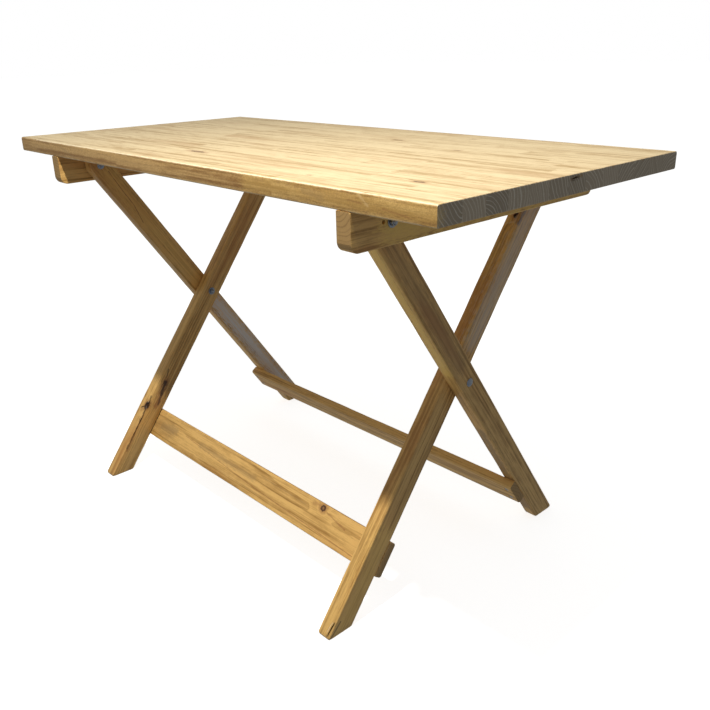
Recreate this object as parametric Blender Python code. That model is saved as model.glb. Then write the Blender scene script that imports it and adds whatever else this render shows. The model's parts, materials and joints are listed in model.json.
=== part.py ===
"""Folding table of solid wood with crossed legs, metres, +Z up.

The top lies along X and the long edge at -Y is its front. The outer leg frame turns on two bolts
through the battens under the front of the top, and the inner leg frame turns on two bolts at the
crossing. Both frames are drawn lying flat along their own +Y, and their pivot empties turn them
to the open table. The origin is on the floor, at the middle of the whole object's box.
"""
import math

import bmesh
import bpy
from mathutils import Matrix, Vector

# Top
TOP_LENGTH = 1.200
TOP_THICKNESS = 0.0285
TOP_HEIGHT = 0.750
STAVE_COUNT = 13
STAVE_WIDTH = 0.045
TOP_EDGE_RADIUS = 0.0020
TOP_DEPTH = STAVE_COUNT * STAVE_WIDTH
UNDERSIDE = TOP_HEIGHT - TOP_THICKNESS

# Battens under the top
BATTEN_THICKNESS = 0.0285
BATTEN_HEIGHT = 0.057
BATTEN_OUTER_X = 0.4535
BATTEN_CORNER_RADIUS = 0.015
BATTEN_SCREW_COUNT = 3

# Legs
LEG_WIDTH = 0.045
LEG_THICKNESS = 0.028
OUTER_ANGLE = math.radians(55.2)
INNER_ANGLE = math.radians(52.9)
PIVOT_DROP = 0.0235
PIVOT_TO_CROSSING = 0.3865
CROSSING_Y = 0.0041
END_CUT_FORWARD = 0.022
FOOT_RADIUS = 0.004
BATTEN_GAP = 0.0025
LEG_GAP = 0.0022

# Boards that join the legs of a frame
OUTER_BOARD_WIDTH = 0.060
INNER_BOARD_WIDTH = 0.064
RAIL_WIDTH = 0.060
BOARD_THICKNESS = 0.018
BOARD_OUTER_RADIUS = 0.0045
BOARD_INNER_RADIUS = 0.0012
OUTER_BOARD_FROM_CROSSING = 0.330
INNER_BOARD_FROM_CROSSING = 0.337
RAIL_FROM_CROSSING = 0.352

# Fasteners
BOLT_RADIUS = 0.0030
WASHER_RADIUS = 0.0085
WASHER_THICKNESS = 0.0016
NUT_CORNER_RADIUS = 0.0058
NUT_HEIGHT = 0.0048
DOME_RADIUS = 0.0078
DOME_HEIGHT = 0.0022
BOLT_END = 0.0020
SCREW_RADIUS = 0.0022
SCREW_HEAD_RADIUS = 0.0044
SCREW_HEAD_DEPTH = 0.0030
SCREW_TIP_RADIUS = 0.0006
SCREW_TAPER_FROM = 0.8
SCREW_SPACING = 0.030
BATTEN_SCREW_INBOARD = 0.0045
TOP_SCREW_GRIP = 0.0171
STRETCHER_SCREW_GRIP = 0.024
RAIL_SCREW_GRIP = 0.028
STRAY_HOLE_RADIUS = 0.0031
STRAY_HOLE_DEPTH = 0.010
STRAY_HOLE_FORWARD = 0.0155
STRAY_HOLE_RAISED = 0.0015

FIT = 0.0003
BORE_OVERRUN = 0.005
EASED = 0.0012
ARC_STEPS = 4
BOLT_SIDES = 18
SCREW_SIDES = 10
SHARP_ANGLE = math.radians(35)

# Places worked out from the driving dimensions
HALF_LEG = LEG_WIDTH / 2
PIVOT_Z = UNDERSIDE - PIVOT_DROP
CROSSING_Z = PIVOT_Z - PIVOT_TO_CROSSING * math.sin(OUTER_ANGLE)
LEG_TOP_Z = PIVOT_Z + HALF_LEG
BATTEN_INNER_X = BATTEN_OUTER_X - BATTEN_THICKNESS
OUTER_LEG_X = BATTEN_INNER_X - BATTEN_GAP
INNER_LEG_X = OUTER_LEG_X - LEG_THICKNESS - LEG_GAP
RAIL_END_X = INNER_LEG_X - LEG_THICKNESS - FIT


def foot_reach(height, angle):
    """How far a rounded foot reaches from its leg's centre line, level with a pivot's height."""
    corner = height / math.tan(angle) + HALF_LEG / math.sin(angle)
    return corner - FOOT_RADIUS / math.tan(angle / 2) + FOOT_RADIUS


FRONT_REACH = foot_reach(CROSSING_Z, INNER_ANGLE) - CROSSING_Y
TOP_CENTRE_Y = (FRONT_REACH - TOP_DEPTH / 2) / 2
PIVOT_Y = TOP_CENTRE_Y + CROSSING_Y - PIVOT_TO_CROSSING * math.cos(OUTER_ANGLE)


def clear_scene():
    for old in list(bpy.data.objects):
        bpy.data.objects.remove(old, do_unlink=True)


def finish_material(name, colour, roughness, metallic=0.0):
    material = bpy.data.materials.new(name)
    material.use_nodes = True
    shader = material.node_tree.nodes["Principled BSDF"]
    shader.inputs["Base Color"].default_value = (*colour, 1.0)
    shader.inputs["Roughness"].default_value = roughness
    shader.inputs["Metallic"].default_value = metallic
    material.diffuse_color = (*colour, 1.0)
    return material


def add_object(name, mesh, material, parent=None, place=Matrix.Identity(4)):
    piece = bpy.data.objects.new(name, mesh)
    bpy.context.scene.collection.objects.link(piece)
    if material:
        mesh.materials.append(material)
    piece.parent = parent
    piece.matrix_local = place
    return piece


def add_pivot(name, location, angle, parent=None):
    pivot = bpy.data.objects.new(name, None)
    bpy.context.scene.collection.objects.link(pivot)
    pivot.parent = parent
    pivot.location = location
    pivot.rotation_euler = (angle, 0.0, 0.0)
    return pivot


def rounded_outline(corners):
    """Outline through corners given as (a, b, radius), each turned by an arc of its radius."""
    outline = []
    for index, (a, b, radius) in enumerate(corners):
        corner = Vector((a, b))
        before = Vector(corners[index - 1][:2]) - corner
        after = Vector(corners[(index + 1) % len(corners)][:2]) - corner
        if radius <= 0.0:
            outline.append(corner)
            continue
        half_turn = before.angle(after) / 2
        bisector = (before.normalized() + after.normalized()).normalized()
        centre = corner + bisector * (radius / math.sin(half_turn))
        first = corner + before.normalized() * (radius / math.tan(half_turn)) - centre
        last = corner + after.normalized() * (radius / math.tan(half_turn)) - centre
        sweep = first.angle_signed(last)
        for step in range(ARC_STEPS + 1):
            outline.append(centre + Matrix.Rotation(-sweep * step / ARC_STEPS, 2) @ first)
    return outline


def extruded_mesh(name, outline, x_from, x_to, eased=EASED):
    """Solid whose YZ section is the outline, running from x_from to x_to with eased end edges."""
    shape = bmesh.new()
    ends = []
    for x in (x_from, x_to):
        ends.append([shape.verts.new((x, a, b)) for a, b in outline])
    caps = [shape.faces.new(ends[0]), shape.faces.new(reversed(ends[1]))]
    for index in range(len(outline)):
        after = (index + 1) % len(outline)
        shape.faces.new((ends[0][after], ends[0][index], ends[1][index], ends[1][after]))
    if eased > 0.0:
        rim = {edge for cap in caps for edge in cap.edges}
        bmesh.ops.bevel(shape, geom=list(rim), offset=eased, segments=2, profile=0.5,
                        affect='EDGES', clamp_overlap=True)
    bmesh.ops.recalc_face_normals(shape, faces=shape.faces)
    return store_mesh(name, shape)


def store_mesh(name, shape):
    mesh = bpy.data.meshes.new(name)
    shape.to_mesh(mesh)
    shape.free()
    mesh.shade_smooth()
    mesh.set_sharp_from_angle(angle=SHARP_ANGLE)
    return mesh


def ring_points(radius, height, hexagon, sides):
    """One ring about the X axis at x = height: a circle, or a hexagon with that corner radius."""
    points = []
    for side in range(sides):
        turn = 2 * math.pi * side / sides
        reach = radius
        if hexagon:
            off_flat = turn % (math.pi / 3) - math.pi / 6
            reach = radius * math.cos(math.pi / 6) / math.cos(off_flat)
        points.append((height, reach * math.cos(turn), reach * math.sin(turn)))
    return points


def turned_mesh(name, rings, sides=BOLT_SIDES, open_bore=False):
    """Solid about the X axis through rings of (radius, x, hexagon), capped or closed on its bore."""
    shape = bmesh.new()
    loops = [[shape.verts.new(point) for point in ring_points(*ring, sides)] for ring in rings]
    count = len(loops)
    for index in range(count if open_bore else count - 1):
        here, there = loops[index], loops[(index + 1) % count]
        for side in range(sides):
            after = (side + 1) % sides
            shape.faces.new((here[side], here[after], there[after], there[side]))
    if not open_bore:
        shape.faces.new(reversed(loops[0]))
        shape.faces.new(loops[-1])
    bmesh.ops.recalc_face_normals(shape, faces=shape.faces)
    return store_mesh(name, shape)


def along(direction, location):
    """Placement that turns a solid's own X axis into a direction and moves it to a location."""
    turn = Vector((1.0, 0.0, 0.0)).rotation_difference(Vector(direction))
    return Matrix.Translation(Vector(location)) @ turn.to_matrix().to_4x4()


def cut(piece, cutter_mesh, parent, place):
    cutter = add_object(f"cutter_{piece.name}_{len(piece.modifiers)}", cutter_mesh, None, parent, place)
    cutter.hide_render = True
    cutter.display_type = 'WIRE'
    boolean = piece.modifiers.new("hole", 'BOOLEAN')
    boolean.operation = 'DIFFERENCE'
    boolean.solver = 'EXACT'
    boolean.object = cutter


def bore_mesh(radius, x_from, x_to):
    return turned_mesh("bore", [(radius, x_from, False), (radius, x_to, False)])


def washer_mesh(radius, hole_radius, thickness):
    rings = [(hole_radius, 0.0, False), (radius, 0.0, False),
             (radius, thickness, False), (hole_radius, thickness, False)]
    return turned_mesh("washer", rings, open_bore=True)


def nut_mesh(corner_radius, hole_radius, height):
    rings = [(hole_radius, 0.0, False), (corner_radius, 0.0, True),
             (corner_radius, height, True), (hole_radius, height, False)]
    return turned_mesh("nut", rings, open_bore=True)


def domed_bolt_mesh(length):
    """Low round-headed bolt with the underside of its head at x = 0 and its shank along +X."""
    rings = []
    for step in range(1, ARC_STEPS + 1):
        turn = math.pi / 2 * step / ARC_STEPS
        rings.append((DOME_RADIUS * math.sin(turn), -DOME_HEIGHT * math.cos(turn), False))
    rings.append((BOLT_RADIUS, 0.0, False))
    rings.append((BOLT_RADIUS, length, False))
    return turned_mesh("domed_bolt", rings)


def screw_rings(length, spare):
    """Countersunk screw sunk from x = 0 along +X, enlarged by a spare fit where a hole takes it."""
    return [(SCREW_HEAD_RADIUS + spare, 0.0, False),
            (SCREW_HEAD_RADIUS + spare, FIT, False),
            (SCREW_RADIUS + spare, SCREW_HEAD_DEPTH + spare, False),
            (SCREW_RADIUS + spare, length * SCREW_TAPER_FROM + spare, False),
            (SCREW_TIP_RADIUS + spare, length + spare, False)]


def add_screw(name, material, parent, start, direction, length, pieces):
    """Screw whose head lies just under the surface at start, with its hole cut in each piece."""
    inward = Vector(direction).normalized()
    head = Vector(start) + inward * FIT
    screw = turned_mesh("screw", screw_rings(length, 0.0), SCREW_SIDES)
    add_object(name, screw, material, parent, along(inward, head))
    hole = screw_rings(length, FIT)
    hole[0] = (SCREW_HEAD_RADIUS + FIT, -BORE_OVERRUN, False)
    for piece in pieces:
        cut(piece, turned_mesh("screw_hole", hole, SCREW_SIDES), parent, along(inward, head))


def add_staves(wood):
    """Edge-glued staves of the top, numbered from the front edge."""
    staves = []
    y_front = TOP_CENTRE_Y - TOP_DEPTH / 2
    for index in range(STAVE_COUNT):
        low = y_front + index * STAVE_WIDTH + (FIT / 2 if index else 0.0)
        high = y_front + (index + 1) * STAVE_WIDTH - (FIT / 2 if index < STAVE_COUNT - 1 else 0.0)
        front = TOP_EDGE_RADIUS if index == 0 else 0.0
        back = TOP_EDGE_RADIUS if index == STAVE_COUNT - 1 else 0.0
        outline = rounded_outline([(low, UNDERSIDE, front), (high, UNDERSIDE, back),
                                   (high, TOP_HEIGHT, back), (low, TOP_HEIGHT, front)])
        mesh = extruded_mesh("stave", outline, -TOP_LENGTH / 2, TOP_LENGTH / 2, eased=0.0)
        staves.append(add_object(f"top_stave_{index + 1:02d}", mesh, wood))
    return staves


def add_batten(side, wood):
    """Batten screwed across the underside, on edge, with its lower corners rounded."""
    half = TOP_DEPTH / 2
    low = UNDERSIDE - BATTEN_HEIGHT
    high = UNDERSIDE - FIT
    outline = rounded_outline([(TOP_CENTRE_Y - half, low, BATTEN_CORNER_RADIUS),
                               (TOP_CENTRE_Y + half, low, BATTEN_CORNER_RADIUS),
                               (TOP_CENTRE_Y + half, high, 0.0),
                               (TOP_CENTRE_Y - half, high, 0.0)])
    sign = 1 if side == "right" else -1
    mesh = extruded_mesh("batten", outline, sign * BATTEN_INNER_X, sign * BATTEN_OUTER_X)
    return add_object(f"{side}_batten", mesh, wood)


def outer_leg_outline():
    """Outer leg about its pivot: square foot on the floor, end trimmed level and upright."""
    sine, cosine = math.sin(OUTER_ANGLE), math.cos(OUTER_ANGLE)

    def on_floor(across):
        return (PIVOT_Z + across * cosine) / sine

    def level_end(across):
        return (across * cosine - HALF_LEG) / sine

    tip = (-END_CUT_FORWARD * cosine - HALF_LEG * sine, -END_CUT_FORWARD * sine + HALF_LEG * cosine)
    throat = (-END_CUT_FORWARD + HALF_LEG * sine) / cosine
    return rounded_outline([(throat, -HALF_LEG, FOOT_RADIUS),
                            (on_floor(-HALF_LEG), -HALF_LEG, FOOT_RADIUS),
                            (on_floor(HALF_LEG), HALF_LEG, FOOT_RADIUS),
                            (level_end(HALF_LEG), HALF_LEG, HALF_LEG),
                            (*tip, FOOT_RADIUS)])


def inner_leg_outline():
    """Inner leg about the crossing: square foot on the floor and a level end under the top."""
    sine, cosine = math.sin(INNER_ANGLE), math.cos(INNER_ANGLE)

    def at_height(height, across):
        return (height - CROSSING_Z - across * cosine) / sine

    return rounded_outline([(at_height(0.0, HALF_LEG), HALF_LEG, FOOT_RADIUS),
                            (at_height(0.0, -HALF_LEG), -HALF_LEG, FOOT_RADIUS),
                            (at_height(LEG_TOP_Z, -HALF_LEG), -HALF_LEG, FOOT_RADIUS),
                            (at_height(LEG_TOP_Z, HALF_LEG), HALF_LEG, FOOT_RADIUS)])


def add_leg(name, outline, side, outer_x, wood, pivot):
    sign = 1 if side == "right" else -1
    mesh = extruded_mesh("leg", outline, sign * (outer_x - LEG_THICKNESS), sign * outer_x)
    return add_object(name, mesh, wood, pivot)


def board_outline(centre, width, top, sharp_top):
    """Section of a joining board whose upper face is at z = top in its frame's own space."""
    low, high = centre - width / 2, centre + width / 2
    upper = BOARD_INNER_RADIUS if sharp_top else BOARD_OUTER_RADIUS
    return rounded_outline([(low, top - BOARD_THICKNESS, BOARD_OUTER_RADIUS),
                            (high, top - BOARD_THICKNESS, BOARD_OUTER_RADIUS),
                            (high, top, upper),
                            (low, top, upper)])


def add_stretcher(name, centre, width, half_length, wood, steel, pivot, legs):
    """Board across the lower edges of a frame's legs, held by two screws into each leg."""
    face = -HALF_LEG - FIT
    outline = board_outline(centre, width, face, True)
    mesh = extruded_mesh("stretcher", outline, -half_length, half_length)
    stretcher = add_object(name, mesh, wood, pivot)
    for side, leg in legs.items():
        sign = 1 if side == "right" else -1
        for number, offset in enumerate((-SCREW_SPACING / 2, SCREW_SPACING / 2), 1):
            start = (sign * (half_length - LEG_THICKNESS / 2), centre + offset, face - BOARD_THICKNESS)
            add_screw(f"{name}_{side}_screw_{number}", steel, pivot, start, (0, 0, 1),
                      BOARD_THICKNESS + STRETCHER_SCREW_GRIP, (stretcher, leg))


def add_rail(wood, steel, pivot, legs):
    """Rail between the tops of the inner legs, held by two screws through each leg."""
    outline = board_outline(RAIL_FROM_CROSSING, RAIL_WIDTH, BOARD_THICKNESS / 2, False)
    mesh = extruded_mesh("rail", outline, -RAIL_END_X, RAIL_END_X, eased=0.0)
    rail = add_object("inner_top_rail", mesh, wood, pivot)
    for side, leg in legs.items():
        sign = 1 if side == "right" else -1
        for number, offset in enumerate((-SCREW_SPACING / 2, SCREW_SPACING / 2), 1):
            start = (sign * INNER_LEG_X, RAIL_FROM_CROSSING + offset, 0.0)
            add_screw(f"inner_top_rail_{side}_screw_{number}", steel, pivot, start, (-sign, 0, 0),
                      LEG_THICKNESS + RAIL_SCREW_GRIP, (rail, leg))


def add_top_pivot(side, steel, batten, leg):
    """Round-headed bolt from the outer leg's inner face out through the batten, with a nut."""
    sign = 1 if side == "right" else -1

    def place(x):
        return along((sign, 0, 0), (sign * x, PIVOT_Y, PIVOT_Z))

    inner_face = OUTER_LEG_X - LEG_THICKNESS
    head_at = inner_face - FIT
    nut_at = BATTEN_OUTER_X + WASHER_THICKNESS + 2 * FIT
    hole_radius = BOLT_RADIUS + FIT
    end = nut_at + NUT_HEIGHT + BOLT_END
    washer = washer_mesh(WASHER_RADIUS, hole_radius, WASHER_THICKNESS)
    spacer = washer_mesh(WASHER_RADIUS, hole_radius, BATTEN_GAP - 2 * FIT)
    nut = nut_mesh(NUT_CORNER_RADIUS, hole_radius, NUT_HEIGHT)
    add_object(f"{side}_pivot_bolt", domed_bolt_mesh(end - head_at), steel, None, place(head_at))
    add_object(f"{side}_pivot_spacer", spacer, steel, None, place(OUTER_LEG_X + FIT))
    add_object(f"{side}_pivot_washer", washer, steel, None, place(BATTEN_OUTER_X + FIT))
    add_object(f"{side}_pivot_nut", nut, steel, None, place(nut_at))
    bore = bore_mesh(hole_radius, inner_face - BORE_OVERRUN, BATTEN_OUTER_X + BORE_OVERRUN)
    cut(batten, bore, None, place(0.0))
    cut(leg, bore.copy(), None, place(0.0))


def add_crossing(side, steel, outer_leg, inner_leg, pivot):
    """Round-headed bolt from the outer leg's outer face through both legs at their crossing."""
    sign = 1 if side == "right" else -1

    def place(x):
        return along((-sign, 0, 0), (sign * x, PIVOT_TO_CROSSING, 0.0))

    inner_face = INNER_LEG_X - LEG_THICKNESS
    nut_at = inner_face - WASHER_THICKNESS - 2 * FIT
    head_at = OUTER_LEG_X + FIT
    hole_radius = BOLT_RADIUS + FIT
    end = nut_at - NUT_HEIGHT - BOLT_END
    washer = washer_mesh(WASHER_RADIUS, hole_radius, WASHER_THICKNESS)
    nut = nut_mesh(NUT_CORNER_RADIUS, hole_radius, NUT_HEIGHT)
    add_object(f"{side}_crossing_bolt", domed_bolt_mesh(head_at - end), steel, pivot, place(head_at))
    add_object(f"{side}_crossing_spacer", washer, steel, pivot, place(INNER_LEG_X + LEG_GAP - FIT))
    add_object(f"{side}_crossing_washer", washer.copy(), steel, pivot, place(inner_face - FIT))
    add_object(f"{side}_crossing_nut", nut, steel, pivot, place(nut_at))
    bore = bore_mesh(hole_radius, -BORE_OVERRUN, OUTER_LEG_X - inner_face + BORE_OVERRUN)
    cut(outer_leg, bore, pivot, place(OUTER_LEG_X))
    cut(inner_leg, bore.copy(), pivot, place(OUTER_LEG_X))


def add_batten_screws(side, steel, batten, staves):
    """Screws up through the batten from its lower edge into the staves above it."""
    sign = 1 if side == "right" else -1
    centre_x = sign * (BATTEN_INNER_X + BATTEN_OUTER_X) / 2
    spacing = (STAVE_COUNT - 1) // (BATTEN_SCREW_COUNT - 1)
    for number in range(BATTEN_SCREW_COUNT):
        index = number * spacing
        inboard = (1 - number) * BATTEN_SCREW_INBOARD
        y = TOP_CENTRE_Y - TOP_DEPTH / 2 + (index + 0.5) * STAVE_WIDTH + inboard
        add_screw(f"{side}_batten_screw_{number + 1}", steel, None,
                  (centre_x, y, UNDERSIDE - BATTEN_HEIGHT), (0, 0, 1),
                  BATTEN_HEIGHT + TOP_SCREW_GRIP, (batten, staves[index]))


def add_stray_hole(batten):
    """Small blind hole drilled by mistake just in front of the pivot."""
    stray = bore_mesh(STRAY_HOLE_RADIUS, -BORE_OVERRUN, STRAY_HOLE_DEPTH)
    place = (BATTEN_OUTER_X, PIVOT_Y - STRAY_HOLE_FORWARD, PIVOT_Z + STRAY_HOLE_RAISED)
    cut(batten, stray, None, along((-1, 0, 0), place))


def build_table():
    clear_scene()
    top_wood = finish_material("top_wood", (0.62, 0.42, 0.20), 0.55)
    leg_wood = finish_material("leg_wood", (0.45, 0.28, 0.12), 0.60)
    steel = finish_material("zinc_steel", (0.55, 0.57, 0.60), 0.35, 1.0)

    outer_pivot = add_pivot("outer_frame_pivot", (0.0, PIVOT_Y, PIVOT_Z), -OUTER_ANGLE)
    inner_pivot = add_pivot("inner_frame_pivot", (0.0, PIVOT_TO_CROSSING, 0.0),
                            OUTER_ANGLE + INNER_ANGLE, outer_pivot)

    staves = add_staves(top_wood)
    sides = ("left", "right")
    battens = {side: add_batten(side, leg_wood) for side in sides}
    outer_outline = outer_leg_outline()
    inner_outline = inner_leg_outline()
    outer_legs = {side: add_leg(f"{side}_outer_leg", outer_outline, side, OUTER_LEG_X, leg_wood,
                                outer_pivot) for side in sides}
    inner_legs = {side: add_leg(f"{side}_inner_leg", inner_outline, side, INNER_LEG_X, leg_wood,
                                inner_pivot) for side in sides}

    add_stretcher("outer_stretcher", PIVOT_TO_CROSSING + OUTER_BOARD_FROM_CROSSING,
                  OUTER_BOARD_WIDTH, OUTER_LEG_X, leg_wood, steel, outer_pivot, outer_legs)
    add_stretcher("inner_stretcher", -INNER_BOARD_FROM_CROSSING,
                  INNER_BOARD_WIDTH, INNER_LEG_X, leg_wood, steel, inner_pivot, inner_legs)
    add_rail(leg_wood, steel, inner_pivot, inner_legs)

    for side in sides:
        add_top_pivot(side, steel, battens[side], outer_legs[side])
        add_crossing(side, steel, outer_legs[side], inner_legs[side], outer_pivot)
        add_batten_screws(side, steel, battens[side], staves)
    add_stray_hole(battens["right"])


build_table()
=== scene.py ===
"""Looks of a folding table of solid wood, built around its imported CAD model. Metres, +Z up.

Every wooden part is modelled with its grain along its own X axis, its width along Y and its
thickness along Z, and is then laid on its place in the frame, so that one kind of solid-wood
material serves them all. Every fastener is turned about its own X axis.
"""
import json
import math
import random

import bmesh
import bpy
from mathutils import Matrix, Vector, noise


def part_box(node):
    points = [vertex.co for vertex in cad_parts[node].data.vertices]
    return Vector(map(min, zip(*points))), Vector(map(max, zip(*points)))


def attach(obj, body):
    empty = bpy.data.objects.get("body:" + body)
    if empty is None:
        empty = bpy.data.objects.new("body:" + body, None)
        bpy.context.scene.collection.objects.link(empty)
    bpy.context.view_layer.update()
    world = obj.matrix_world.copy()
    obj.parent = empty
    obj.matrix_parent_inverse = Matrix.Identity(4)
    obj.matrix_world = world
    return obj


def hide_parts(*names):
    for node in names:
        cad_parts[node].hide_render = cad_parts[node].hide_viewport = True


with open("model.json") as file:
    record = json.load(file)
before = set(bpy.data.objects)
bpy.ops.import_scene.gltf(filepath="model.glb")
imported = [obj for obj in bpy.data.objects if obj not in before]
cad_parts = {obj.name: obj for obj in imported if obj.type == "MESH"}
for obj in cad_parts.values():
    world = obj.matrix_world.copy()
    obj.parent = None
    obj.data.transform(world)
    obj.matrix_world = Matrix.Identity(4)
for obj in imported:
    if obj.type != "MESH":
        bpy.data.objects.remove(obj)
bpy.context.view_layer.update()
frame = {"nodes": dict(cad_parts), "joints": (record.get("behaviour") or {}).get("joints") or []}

# Angles and places of the open table
OUTER_ANGLE = math.radians(55.2)
INNER_ANGLE = math.radians(52.9)
PIVOT = Vector(frame["joints"][0]["pos_m"])
CROSSING = Vector(frame["joints"][1]["pos_m"])
PIVOT_TO_CROSSING = (CROSSING - PIVOT).length

# Wooden sections
LEG_WIDTH = 0.045
HALF_LEG = LEG_WIDTH / 2
END_CUT_FORWARD = 0.022
FOOT_RADIUS = 0.004
LEG_EDGE = 0.0022
OUTER_BOARD_WIDTH = 0.060
INNER_BOARD_WIDTH = 0.064
RAIL_WIDTH = 0.060
BOARD_THICKNESS = 0.018
BOARD_OUTER_EDGE = 0.0045
BOARD_INNER_EDGE = 0.0014
OUTER_BOARD_FROM_CROSSING = 0.330
INNER_BOARD_FROM_CROSSING = 0.337
RAIL_FROM_CROSSING = 0.352
TOP_EDGE = 0.0030
TOP_LOWER_EDGE = 0.0020
BATTEN_CORNER = 0.015
END_RIM = 0.0012
LEG_END_RIM = 0.0034
GLUE_GAP = 0.00002
FIT = 0.0003
STRETCHER_HOLE_DEPTH = 0.026
RAIL_HOLE_DEPTH = 0.032
EDGE_WEAR_REACH = 0.004
LEG_WEAR = 0.0006
BOARD_WEAR = 0.0005

# Fasteners
BOLT_RADIUS = 0.0030
WASHER_RADIUS = 0.0085
NUT_CORNER = 0.0058
NUT_HEIGHT = 0.0048
DOME_RADIUS = 0.0078
DOME_HEIGHT = 0.0022
BOLT_THREAD = 0.012
THREAD_PITCH = 0.00125
THREAD_DEPTH = 0.0006
SCREW_RADIUS = 0.0022
SCREW_HEAD_RADIUS = 0.0044
SCREW_HEAD_DEPTH = 0.0030
SCREW_OFFSETS = (-0.015, 0.015)
STRETCHER_SCREW_GRIP = 0.024
SCREW_PITCH = 0.0018
RECESS_WIDTH = 0.0012
RECESS_REACH = 0.0024
RECESS_DEPTH = 0.0022
STRAY_HOLE_RADIUS = 0.0031
STRAY_HOLE_DEPTH = 0.010
STRAY_HOLE_FORWARD = 0.0155
STRAY_HOLE_RAISED = 0.0015

# Fineness of the meshes
STATION_STEP = 0.009
COLUMN_STEP = 0.009
ARC_STEPS = 5
BORE_SIDES = 36
FASTENER_SIDES = 48
SCREW_SIDES = 24
OVERRUN = 0.004
BORE_TWIST = math.radians(2.3)
DOME_STEPS = 10
SPLIT_STEPS = 14
SPLIT_SIDES = 10
SHARP_ANGLE = math.radians(32)
SWAY_SEED = 7

# Camera, as the table is seen
CAMERA_PLACE = Vector((1.1824, -0.9579, 0.9211))
CAMERA_YAW = math.radians(47.176)
CAMERA_PITCH = math.radians(-21.734)
CAMERA_ROLL = math.radians(-1.399)
CAMERA_LENS = 39.488
SENSOR_WIDTH = 36.0

# Light and surroundings
KEY_PLACE = (0.47, -0.606, 2.00)
KEY_TARGET = Vector((0.0, 0.0, 0.4))
KEY_POWER = 28.5
KEY_SIZE = 0.07
KEY_COLOUR = (1.0, 0.96, 0.88)
SURROUND_STRENGTH = 0.40
SURROUND_WARM = (1.15, 1.12, 1.02, 1.0)
SURROUND_COOL = (0.36, 0.40, 0.49, 1.0)
SEEN_BACKDROP = (1.0, 1.0, 1.0, 1.0)
FLOOR_GLOW = 0.80
FLOOR_GAP = 0.0004
FLOOR_HALF_SIZE = 30.0

# What makes single boards of this table different, and the painted light and shade laid on some
# of them, in each board's own coordinates: along the grain, across the board and through it.
# Dark colour for dark grain, and for painted shade: the shadow line where a leg meets its stretcher,
# and the insides of splits.
DARK_GRAIN_AND_SHADE = (0.030, 0.018, 0.010, 1.0)
KNOT_CORE = (0.085, 0.036, 0.016, 1.0)
RUST = (0.34, 0.13, 0.04, 1.0)
# Tawny for darker streaks in the wood, and for painted shade at the left end of the top's front face.
TAWNY_STREAK_AND_SHADE = (0.40, 0.25, 0.10, 1.0)
# Pale colour for bleached flecks, and for painted highlights: along the top's rounded front edge and
# on the right inner leg's front face.
BLEACHED_AND_HIGHLIGHT = (0.92, 0.80, 0.56, 1.0)
PURPLE = (0.13, 0.075, 0.075, 1.0)
YELLOW = (0.82, 0.58, 0.27, 1.0)
# Pale grey laid in patches over parts of the legs' +X faces.
GREY_PATCH = (0.80, 0.76, 0.70, 1.0)
# The next colour paints shade: laid in strips, it darkens faces that lie in shade.
PAINTED_SHADE_UMBER = (0.24, 0.15, 0.07, 1.0)
# The next two colours paint light: laid in strips, they brighten faces as bounced floor light and lamp
# light would.
PAINTED_LIGHT_GOLD = (1.0, 0.64, 0.18, 1.0)
PAINTED_LIGHT_HONEY = (1.0, 0.67, 0.18, 1.0)

# place, radius, darkness and how far the knot is drawn out along the grain. A place of two
# numbers is on the board's +Z face.
KNOTS = {
    "top_stave_02": (((0.318, -0.02), 0.0026, 0.45, 2.0),),
    "top_stave_03": (((-0.05, -0.014), 0.0052, 0.8, 4.4),
                     ((0.479, -0.01), 0.0046, 0.72, 2.4)),
    "top_stave_09": (((0.31, 0.001), 0.0028, 0.55, 3.0),),
    "top_stave_10": (((0.122, 0.008), 0.0028, 0.75, 4.2),),
    "top_stave_12": (((0.231, 0.012), 0.0026, 0.45, 3.0),),
    "left_inner_leg": (((-0.309, 0.0212, 0.0125), 0.007, 1.0, 1.3),),
    "right_inner_leg": (((0.304, 0.022, 0.0035), 0.0046, 1.0, 1.5),),
    "inner_stretcher": (((0.223, 0.024), 0.0066, 1.0, 1.1),),
}

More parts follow.
